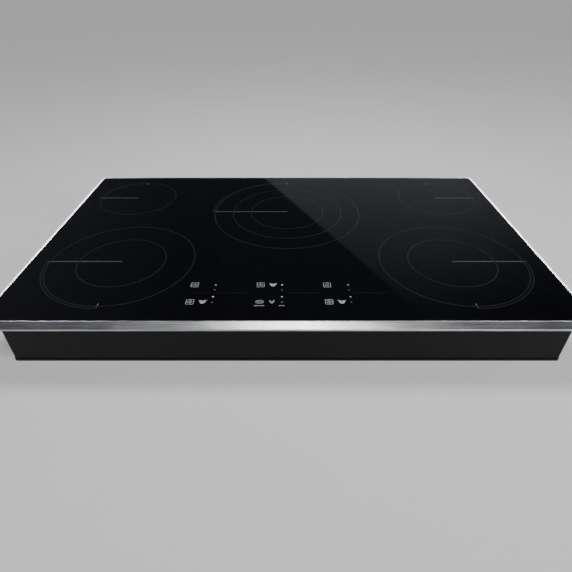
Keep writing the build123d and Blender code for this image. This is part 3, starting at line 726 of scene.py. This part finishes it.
# ---- print shapes --------------------------------------------------------------------------------
DOT_TAPER = 0.94  # top of a dot against its foot
MERGE_DISTANCE = 1e-7
FULL_TURN_SLACK = 0.001  # radians short of a full turn that still closes a ring
RING_STEPS = 160
ARC_STEPS = 40


def ink_levels():
    """Underside and top of the print."""
    return plate_top - prints().ink_root, plate_top + prints().ink_height


def spun_stroke(bm, centre, radius, width, start, sweep, steps):
    """A flat ring or arc, made by spinning its section round the centre; returns its vertices."""
    low, high = ink_levels()
    before = set(bm.verts)
    inner, outer = radius - width / 2, radius + width / 2
    corners = ((inner, low), (outer, low), (outer, high), (inner, high))
    section = [bm.verts.new((away, 0.0, level)) for away, level in corners]
    edges = [bm.edges.new(pair) for pair in zip(section, section[1:] + section[:1])]
    bmesh.ops.rotate(bm, verts=section, cent=(0, 0, 0), matrix=Matrix.Rotation(start, 3, "Z"))
    bmesh.ops.translate(bm, verts=section, vec=(centre.x, centre.y, 0.0))
    full = abs(sweep) > tau - FULL_TURN_SLACK
    bmesh.ops.spin(
        bm,
        geom=section + edges,
        cent=(centre.x, centre.y, 0.0),
        axis=(0, 0, 1),
        angle=sweep,
        steps=steps,
        use_merge=full,
    )
    if not full:
        bmesh.ops.holes_fill(bm, edges=[e for e in bm.edges if e.is_boundary], sides=4)
    return [v for v in bm.verts if v not in before]


def straight_stroke(bm, start, end, width, rounding=0.45):
    """A flat bar between two points; rounding is its corner radius as a share of its width."""
    low, high = ink_levels()
    along = Vector((end.x - start.x, end.y - start.y, 0.0))
    made = bmesh.ops.create_cube(bm, size=1.0)["verts"]
    bmesh.ops.scale(bm, vec=(along.length, width, high - low), verts=made)
    own_edges = [e for e in bm.edges if e.verts[0] in made]
    upright = [e for e in own_edges if abs(e.verts[0].co.z - e.verts[1].co.z) > (high - low) / 2]
    shaped = bmesh.ops.bevel(
        bm,
        geom=upright,
        offset=width * rounding,
        segments=3,
        profile=0.5,
        affect="EDGES",
        material=-1,
    )
    verts = list({v for v in made if v.is_valid} | set(shaped["verts"]))
    turn = Matrix.Rotation(atan2(along.y, along.x), 3, "Z")
    bmesh.ops.rotate(bm, verts=verts, cent=(0, 0, 0), matrix=turn)
    middle = Vector(((start.x + end.x) / 2, (start.y + end.y) / 2, (low + high) / 2))
    bmesh.ops.translate(bm, verts=verts, vec=middle)


def frame_stroke(bm, centre, width, depth, corner, stroke):
    """A rounded rectangular outline: a face is rounded, inset, opened and raised."""
    low, high = ink_levels()
    made = bmesh.ops.create_grid(bm, x_segments=1, y_segments=1, size=0.5)["verts"]
    bmesh.ops.scale(bm, vec=(width, depth, 1.0), verts=made)
    bmesh.ops.translate(bm, verts=made, vec=(centre.x, centre.y, low))
    rounded = bmesh.ops.bevel(
        bm, geom=made, offset=corner, segments=4, profile=0.5, affect="VERTICES", material=-1
    )
    face = rounded["verts"][0].link_faces[0]
    rim = bmesh.ops.inset_region(
        bm, faces=[face], thickness=stroke, use_boundary=True, use_even_offset=True
    )["faces"]
    bmesh.ops.delete(bm, geom=[face], context="FACES_ONLY")
    raised = bmesh.ops.extrude_face_region(bm, geom=rim, use_keep_orig=True)["geom"]
    lifted = [g for g in raised if isinstance(g, bmesh.types.BMVert)]
    bmesh.ops.translate(bm, verts=lifted, vec=(0.0, 0.0, high - low))


def dot(bm, centre, radius):
    """A small round dot that narrows a little towards its top."""
    low, high = ink_levels()
    bmesh.ops.create_cone(
        bm,
        cap_ends=True,
        segments=28,
        radius1=radius,
        radius2=radius * DOT_TAPER,
        depth=high - low,
        matrix=Matrix.Translation((centre.x, centre.y, (low + high) / 2)),
    )


def squash(bm, verts, centre, factor):
    """Scales a round stroke front to back about its centre."""
    space = Matrix.Translation((-centre.x, -centre.y, 0.0))
    bmesh.ops.scale(bm, vec=(1.0, factor, 1.0), space=space, verts=verts)


def new_object(name, bm, material):
    """Turns a bmesh into an object of the scene."""
    mesh = bpy.data.meshes.new(name)
    bm.to_mesh(mesh)
    bm.free()
    mesh.materials.append(material)
    made = bpy.data.objects.new(name, mesh)
    bpy.context.scene.collection.objects.link(made)
    return made


def finish_piece(name, bm, material):
    """Turns a bmesh into a piece that rides on the cooktop."""
    bmesh.ops.remove_doubles(bm, verts=bm.verts, dist=MERGE_DISTANCE)
    bmesh.ops.recalc_face_normals(bm, faces=bm.faces)
    piece = new_object(name, bm, material)
    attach(piece, BODY)


def ink(name, colour):
    """The ink of this name, mixed when it is first asked for."""
    return bpy.data.materials.get(name) or fired_ink(name, colour)


def at(x, back):
    """A point on the plate: x from the middle, back from the plate's front edge."""
    return Vector((x, plate_front + back, plate_top))


# ---- operators -----------------------------------------------------------------------------------
class COOKTOP_OT_finish_parts(bpy.types.Operator):
    """Give every part of the cooktop its finish"""

    bl_idname = "cooktop.finish_parts"
    bl_label = "Finish Parts"

    def execute(self, context):
        done = set()
        for maker, endings in NODE_FINISHES:
            material = maker()
            for name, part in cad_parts.items():
                if name in done or not any(name == e or name.endswith("_" + e) for e in endings):
                    continue
                part.data.materials.clear()
                part.data.materials.append(material)
                done.add(name)
        left = set(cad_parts) - done
        if left:
            raise RuntimeError(f"no finish for {sorted(left)}")
        return {"FINISHED"}


class COOKTOP_OT_zone_rings(bpy.types.Operator):
    """Print the rings of every cooking zone"""

    bl_idname = "cooktop.zone_rings"
    bl_label = "Print Zone Rings"

    def execute(self, context):
        material = ink("ring_ink", prints().ring_colour)
        width = prints().ring_width
        for name, diameters, _, _ in ZONES:
            bm = bmesh.new()
            for diameter in diameters:
                spun_stroke(bm, zone_centre(name), diameter * INCH / 2, width, 0.0, tau, RING_STEPS)
            finish_piece(f"{name}_zone_rings", bm, material)
        return {"FINISHED"}


class COOKTOP_OT_zone_markers(bpy.types.Operator):
    """Print the bar and the quarter arc of every cooking zone"""

    bl_idname = "cooktop.zone_markers"
    bl_label = "Print Zone Markers"

    def execute(self, context):
        bar_material = ink("marker_ink", prints().marker_colour)
        arc_material = ink("arc_ink", prints().ring_colour)
        for name, diameters, side, tick_side in ZONES:
            centre = zone_centre(name)
            reach = max(diameters) * INCH / 2 + prints().bar_overrun
            bm = bmesh.new()
            end = centre + Vector((side * reach, 0.0, 0.0))
            straight_stroke(bm, centre, end, prints().bar_width, rounding=0.3)
            finish_piece(f"{name}_zone_bar", bm, bar_material)
            bm = bmesh.new()
            start = 0.0 if side > 0 else pi
            quarter = side * tick_side * pi / 2
            spun_stroke(bm, centre, reach, prints().ring_width, start, quarter, ARC_STEPS)
            finish_piece(f"{name}_zone_arc", bm, arc_material)
        return {"FINISHED"}


class COOKTOP_OT_zone_ticks(bpy.types.Operator):
    """Print the short tick across the outer ring of every cooking zone"""

    bl_idname = "cooktop.zone_ticks"
    bl_label = "Print Zone Ticks"

    def execute(self, context):
        material = ink("tick_ink", prints().tick_colour)
        for name, diameters, _, tick_side in ZONES:
            centre = zone_centre(name)
            radius = max(diameters) * INCH / 2 - prints().tick_inset
            half = prints().tick_length / 2
            bm = bmesh.new()
            start = centre + Vector((0.0, tick_side * (radius - half), 0.0))
            end = centre + Vector((0.0, tick_side * (radius + half), 0.0))
            straight_stroke(bm, start, end, prints().tick_width)
            finish_piece(f"{name}_zone_tick", bm, material)
        return {"FINISHED"}


# places of the touch symbols in millimetres, across from the plate's middle
POWER_KEYS = ((-151.0, "rear"), (-151.0, "front"), (-43.0, "rear"), (65.6, "rear"), (65.6, "front"))
PAN_KEYS = ((-131.4, "front"), (-23.0, "rear"), (85.7, "front"))
LOCK_KEY = -42.6
LOCK_RADII = (6.0, 2.8)
LOCK_SQUASH = 0.68  # depth of the oval against its width
CHEVRON_KEY = -23.5
CHEVRON_DROP = 3.4  # tip of the chevron in front of its row
CHEVRON_ARM = (3.6, 7.0)  # from the tip, across and back
CAPTIONS = ((-47.2, 3.9), (-38.4, 3.9), (-10.7, 2.2), (-5.7, 2.2))  # middle and half length
CAPTION_ROW = 36.0  # behind the plate's edge
DOT_COLUMNS = (-116.6, -8.0, 100.2)
MAIN_DOT_ROWS = (90.5, 58.5)  # behind the plate's edge
HALF_DOT_ROWS = (77.0, 44.8)
HALF_DOT_SIZE = 0.85  # against a main dot
GUIDE_LINES = ((-157.0, -122.0), (-112.0, -58.0), (-2.0, 55.0), (105.0, 160.0))  # ends of each line

# tones against the colour of the symbols or rings
CAPTION_TONE = 0.6
HALF_DOT_TONE = 0.35
GUIDE_TONE = 0.8


def row(name):
    """How far a key row lies behind the plate's edge."""
    return keys().front_row if name == "front" else keys().rear_row


class COOKTOP_OT_power_keys(bpy.types.Operator):
    """Print the square power keys"""

    bl_idname = "cooktop.power_keys"
    bl_label = "Print Power Keys"

    def execute(self, context):
        material = ink("key_ink", keys().colour)
        size, stroke = keys().key_size, keys().stroke
        open_ring = {"start": radians(125), "sweep": radians(290), "steps": 30}
        bm = bmesh.new()
        for x, which in POWER_KEYS:
            centre = at(x * MM, row(which))
            frame_stroke(bm, centre, size, size, corner=size * 0.16, stroke=stroke * 0.8)
            spun_stroke(bm, centre, size * 0.25, stroke * 0.7, **open_ring)
            foot = centre - Vector((0.0, size * 0.12, 0.0))
            top = centre + Vector((0.0, size * 0.36, 0.0))
            straight_stroke(bm, foot, top, stroke)
        finish_piece("power_keys", bm, material)
        return {"FINISHED"}


class COOKTOP_OT_pan_keys(bpy.types.Operator):
    """Print the pan-shaped keys"""

    bl_idname = "cooktop.pan_keys"
    bl_label = "Print Pan Keys"

    def execute(self, context):
        material = ink("key_ink", keys().colour)
        width, depth, stroke = keys().pan_width, keys().pan_depth, keys().stroke
        reach = width / 2 - stroke  # outer radius of the bowl
        wall = width * 0.3
        sink = -stroke * 0.4  # the rim lies a little in front of the bowl's edge
        bm = bmesh.new()
        for x, which in PAN_KEYS:
            rim = at(x * MM, row(which)) + Vector((0.0, depth / 2, 0.0))
            bowl = spun_stroke(bm, rim, reach - wall / 2, wall, start=pi, sweep=pi, steps=26)
            squash(bm, bowl, rim, depth / reach)
            for side in (-1, 1):
                inner = rim + Vector((side * (reach - wall), sink, 0.0))
                outer = rim + Vector((side * width / 2, sink, 0.0))
                straight_stroke(bm, inner, outer, stroke * 0.9)
        finish_piece("pan_keys", bm, material)
        return {"FINISHED"}


class COOKTOP_OT_timer_keys(bpy.types.Operator):
    """Print the oval key, the chevron and their caption bars"""

    bl_idname = "cooktop.timer_keys"
    bl_label = "Print Timer Keys"

    def execute(self, context):
        material = ink("key_ink", keys().colour)
        stroke = keys().stroke
        bm = bmesh.new()
        middle = at(LOCK_KEY * MM, keys().front_row)
        for radius in LOCK_RADII:
            oval = spun_stroke(bm, middle, radius * MM, stroke, start=0.0, sweep=tau, steps=40)
            squash(bm, oval, middle, LOCK_SQUASH)
        finish_piece("lock_key", bm, material)
        bm = bmesh.new()
        tip = at(CHEVRON_KEY * MM, keys().front_row - CHEVRON_DROP * MM)
        across, back = CHEVRON_ARM
        for side in (-1, 1):
            end = tip + Vector((side * across * MM, back * MM, 0.0))
            straight_stroke(bm, tip, end, stroke * 2.1)
        finish_piece("chevron_key", bm, material)
        bm = bmesh.new()
        for x, half in CAPTIONS:
            middle = at(x * MM, CAPTION_ROW * MM)
            reach = Vector((half * MM, 0.0, 0.0))
            straight_stroke(bm, middle - reach, middle + reach, stroke * 1.9)
        finish_piece("caption_bars", bm, ink("caption_ink", shade(keys().colour, CAPTION_TONE)))
        return {"FINISHED"}


class COOKTOP_OT_level_dots(bpy.types.Operator):
    """Print the columns of level dots, large and small in turn"""

    bl_idname = "cooktop.level_dots"
    bl_label = "Print Level Dots"

    def execute(self, context):
        bright = ink("key_ink", keys().colour)
        dim = ink("dim_key_ink", shade(keys().colour, HALF_DOT_TONE))
        for name, material, backs, size in (
            ("main_dots", bright, MAIN_DOT_ROWS, 1.0),
            ("half_dots", dim, HALF_DOT_ROWS, HALF_DOT_SIZE),
        ):
            bm = bmesh.new()
            for x in DOT_COLUMNS:
                for back in backs:
                    dot(bm, at(x * MM, back * MM), keys().dot_radius * size)
            finish_piece(name, bm, material)
        return {"FINISHED"}


class COOKTOP_OT_guide_line(bpy.types.Operator):
    """Print the faint line between the two key rows"""

    bl_idname = "cooktop.guide_line"
    bl_label = "Print Guide Line"

    def execute(self, context):
        bm = bmesh.new()
        line = keys().line_row
        for start, end in GUIDE_LINES:
            straight_stroke(bm, at(start * MM, line), at(end * MM, line), keys().stroke * 0.8)
        finish_piece("guide_line", bm, ink("line_ink", shade(prints().ring_colour, GUIDE_TONE)))
        return {"FINISHED"}


# ---- stage ---------------------------------------------------------------------------------------
SUN_ANGLE = radians(35.0)  # apparent size of the key light, so its shadows are soft
SUN_TURN = (radians(38.0), 0.0, radians(12.0))
OVERHEAD_PLACE = (0.045, 0.31, 1.6)
OVERHEAD_TARGET = (0.045, -0.1, 0.09)
OVERHEAD_SIZE = (0.38, 0.5)
SIDE_PLACE = (2.2, -1.4, 1.2)  # of the right softbox; the left one mirrors it
SIDE_TARGET = (0.0, 0.0, 0.1)
SIDE_SIZE = (1.2, 1.2)
SIDE_SHARES = {"front_left": 0.35, "front_right": 1.9}  # of the side power
WALL_AWAY = 2.5  # reflected walls behind the middle of the plate
WALL_FADE = (1.0, 2.3)  # heights between which a wall darkens
SLANT_LOW = Vector((-0.185, WALL_AWAY, 0.98))  # the slanted edge of the reflected wall
SLANT_HIGH = Vector((1.343, WALL_AWAY, 2.393))
RIM_PLACE = (1.68, 1.6, 0.45)  # of the right low card
RIM_SIZE = (1.1, 0.6)
RIM_TURN = radians(-42.0)
FLOOR_DROP = 0.1 * MM  # floor under the cooktop, so that no faces coincide


def area_light(name, place, target, size, power):
    """A soft rectangular light that looks at a point."""
    data = bpy.data.lights.new(name, "AREA")
    data.shape = "RECTANGLE"
    data.size, data.size_y = size
    data.energy = power
    light = bpy.data.objects.new(name, data)
    light.location = place
    light.rotation_euler = (Vector(target) - Vector(place)).to_track_quat("-Z", "Y").to_euler()
    light.visible_camera = False
    bpy.context.scene.collection.objects.link(light)


def upright_panel(middle, width, height, turn):
    """A flat upright panel that faces the front, turned about its own upright axis."""
    bm = bmesh.new()
    made = bmesh.ops.create_grid(bm, x_segments=2, y_segments=2, size=0.5)["verts"]
    bmesh.ops.scale(bm, vec=(width, height, 1.0), verts=made)
    bmesh.ops.rotate(bm, verts=made, cent=(0, 0, 0), matrix=Matrix.Rotation(pi / 2, 3, "X"))
    bmesh.ops.rotate(bm, verts=made, cent=(0, 0, 0), matrix=Matrix.Rotation(turn, 3, "Z"))
    bmesh.ops.translate(bm, vec=middle, verts=made)
    return bm


def reflection_card(name, bm, material):
    """Stages a glowing card that neither the camera nor any diffuse surface sees."""
    card = new_object(name, bm, material)
    card.visible_camera = False
    card.visible_diffuse = False
    card.visible_shadow = False


def glow_material(name):
    """Starts an emission material; returns it, its tree and its emission node."""
    material = bpy.data.materials.new(name)
    material.use_nodes = True
    tree = material.node_tree
    tree.nodes.clear()
    shine = add(tree, "ShaderNodeEmission", {"Color": (0.88, 0.9, 1.0, 1.0)})
    out = add(tree, "ShaderNodeOutputMaterial")
    tree.links.new(shine.outputs[0], out.inputs["Surface"])
    return material, tree, shine


def even_glow(strength):
    """An evenly lit card with a slight mottle."""
    material, tree, shine = glow_material("card_glow")
    place = object_place(tree)
    level = remap(tree, noise(tree, place, 4.0), 0.3, 0.7, strength * 0.9, strength * 1.1)
    tree.links.new(level, shine.inputs["Strength"])
    return material


def wall_glow(name, strength, top_level, span, side_level):
    """A wall that darkens upwards and, over a span of its width, sideways; levels are shares."""
    material, tree, shine = glow_material(name)
    place = object_place(tree)
    parts = add(tree, "ShaderNodeSeparateXYZ", {0: place}).outputs
    fade = remap(tree, parts["Z"], *WALL_FADE, 1.0, top_level)
    aside = remap(tree, parts["X"], *span, 1.0, side_level)
    glow = times(tree, times(tree, fade, aside), strength)
    tree.links.new(glow, shine.inputs["Strength"])
    return material


class COOKTOP_OT_stage(bpy.types.Operator):
    """Build the floor, the lights and the camera"""

    bl_idname = "cooktop.stage"
    bl_label = "Build Stage"

    def execute(self, context):
        scene = context.scene
        self.build_floor()
        self.build_world(scene)
        self.build_lights(scene)
        self.build_cards()
        self.build_camera(scene)
        return {"FINISHED"}

    def build_floor(self):
        material, tree, shader = start_material("floor_paint", Specular_IOR_Level=0.0)
        place = object_place(tree)
        colour = staging().floor_colour
        tinted = blend(tree, noise(tree, place, 3.0), shade(colour, 0.97), shade(colour, 1.03))
        feed(tree, shader, tinted, remap(tree, noise(tree, place, 30.0), 0.3, 0.7, 0.7, 0.85))
        bm = bmesh.new()
        bmesh.ops.create_grid(bm, x_segments=4, y_segments=4, size=staging().floor_size / 2)
        floor = new_object("floor", bm, material)
        floor.location.z = cad_box[0][2] - FLOOR_DROP

    def build_world(self, scene):
        world = bpy.data.worlds.new("studio")
        world.use_nodes = True
        tree = world.node_tree
        sky = tree.nodes["Background"]
        sky.inputs["Color"].default_value = (0.92, 0.95, 1.0, 1.0)
        seen = add(tree, "ShaderNodeLightPath").outputs["Is Camera Ray"]
        level = remap(tree, seen, 0.0, 1.0, staging().ambient, staging().backdrop)
        tree.links.new(level, sky.inputs["Strength"])
        scene.world = world

    def build_lights(self, scene):
        sun = bpy.data.lights.new("key", "SUN")
        sun.energy = staging().key_power
        sun.angle = SUN_ANGLE
        key = bpy.data.objects.new("key", sun)
        key.rotation_euler = SUN_TURN
        scene.collection.objects.link(key)
        power = staging().overhead_power
        area_light("overhead", OVERHEAD_PLACE, OVERHEAD_TARGET, OVERHEAD_SIZE, power)
        across, away, height = SIDE_PLACE
        for side, name in ((-1, "front_left"), (1, "front_right")):
            power = staging().side_power * SIDE_SHARES[name]
            area_light(name, (side * across, away, height), SIDE_TARGET, SIDE_SIZE, power)

    def build_cards(self):
        """Cards that only show as reflections: walls for the plate, low ones for the side trims."""
        slope = (SLANT_HIGH - SLANT_LOW).normalized()
        slant = Vector((-slope.z, 0.0, slope.x))
        bm = upright_panel((2.0, WALL_AWAY, 2.2), width=5.0, height=3.4, turn=0.0)
        whole = bm.verts[:] + bm.edges[:] + bm.faces[:]
        bmesh.ops.bisect_plane(bm, geom=whole, plane_co=SLANT_LOW, plane_no=slant, clear_outer=True)
        strength = staging().card_strength
        glow = wall_glow("wall_glow", strength, top_level=0.2, span=(1.3, 2.4), side_level=0.3)
        reflection_card("reflected_wall", bm, glow)
        bm = upright_panel((-2.6, WALL_AWAY, 1.9), width=4.0, height=2.8, turn=0.0)
        strength = staging().left_strength
        glow = wall_glow("left_glow", strength, top_level=0.75, span=(-3.0, -0.9), side_level=0.28)
        reflection_card("left_wall", bm, glow)
        glow = even_glow(staging().rim_strength)
        across, away, height = RIM_PLACE
        for side, name in ((-1, "left_rim_card"), (1, "right_rim_card")):
            bm = upright_panel((side * across, away, height), *RIM_SIZE, side * RIM_TURN)
            reflection_card(name, bm, glow)

    def build_camera(self, scene):
        data = bpy.data.cameras.new("camera")
        data.lens = staging().lens
        data.sensor_width = 36.0
        data.shift_x = staging().shift
        data.clip_start = 0.01
        camera = bpy.data.objects.new("camera", data)
        eye = (0.0, plate_front - staging().eye_distance, plate_top + staging().eye_height)
        camera.location = eye
        camera.rotation_euler = (pi / 2 - staging().eye_pitch, 0.0, 0.0)
        scene.collection.objects.link(camera)
        scene.camera = camera


class COOKTOP_PT_panel(bpy.types.Panel):
    """Lists every step of the cooktop's finish"""

    bl_idname = "COOKTOP_PT_panel"
    bl_label = "Cooktop"
    bl_space_type = "VIEW_3D"
    bl_region_type = "UI"
    bl_category = "Cooktop"

    def draw(self, context):
        column = self.layout.column(align=True)
        for operator in OPERATORS:
            column.operator(operator.bl_idname)
        for group in (prints(), keys(), finishes(), staging()):
            box = self.layout.box()
            for name in group.__annotations__:
                box.prop(group, name)


OPERATORS = (
    COOKTOP_OT_stage,
    COOKTOP_OT_finish_parts,
    COOKTOP_OT_zone_rings,
    COOKTOP_OT_zone_markers,
    COOKTOP_OT_zone_ticks,
    COOKTOP_OT_power_keys,
    COOKTOP_OT_pan_keys,
    COOKTOP_OT_timer_keys,
    COOKTOP_OT_level_dots,
    COOKTOP_OT_guide_line,
)
SETTINGS = {
    "cooktop_prints": CooktopPrintSettings,
    "cooktop_keys": CooktopKeySettings,
    "cooktop_finishes": CooktopFinishSettings,
    "cooktop_stage": CooktopStageSettings,
}


def register():
    for group in SETTINGS.values():
        bpy.utils.register_class(group)
    for operator in OPERATORS:
        bpy.utils.register_class(operator)
    bpy.utils.register_class(COOKTOP_PT_panel)
    for name, group in SETTINGS.items():
        setattr(bpy.types.Scene, name, PointerProperty(type=group))


def unregister():
    for name in SETTINGS:
        delattr(bpy.types.Scene, name)
    bpy.utils.unregister_class(COOKTOP_PT_panel)
    for cls in reversed((*SETTINGS.values(), *OPERATORS)):
        bpy.utils.unregister_class(cls)


def main():
    register()
    for operator in OPERATORS:
        group, name = operator.bl_idname.split(".")
        result = getattr(getattr(bpy.ops, group), name)()
        if result != {"FINISHED"}:
            raise RuntimeError(f"{operator.bl_label} did not finish")


if __name__ == "__main__":
    main()
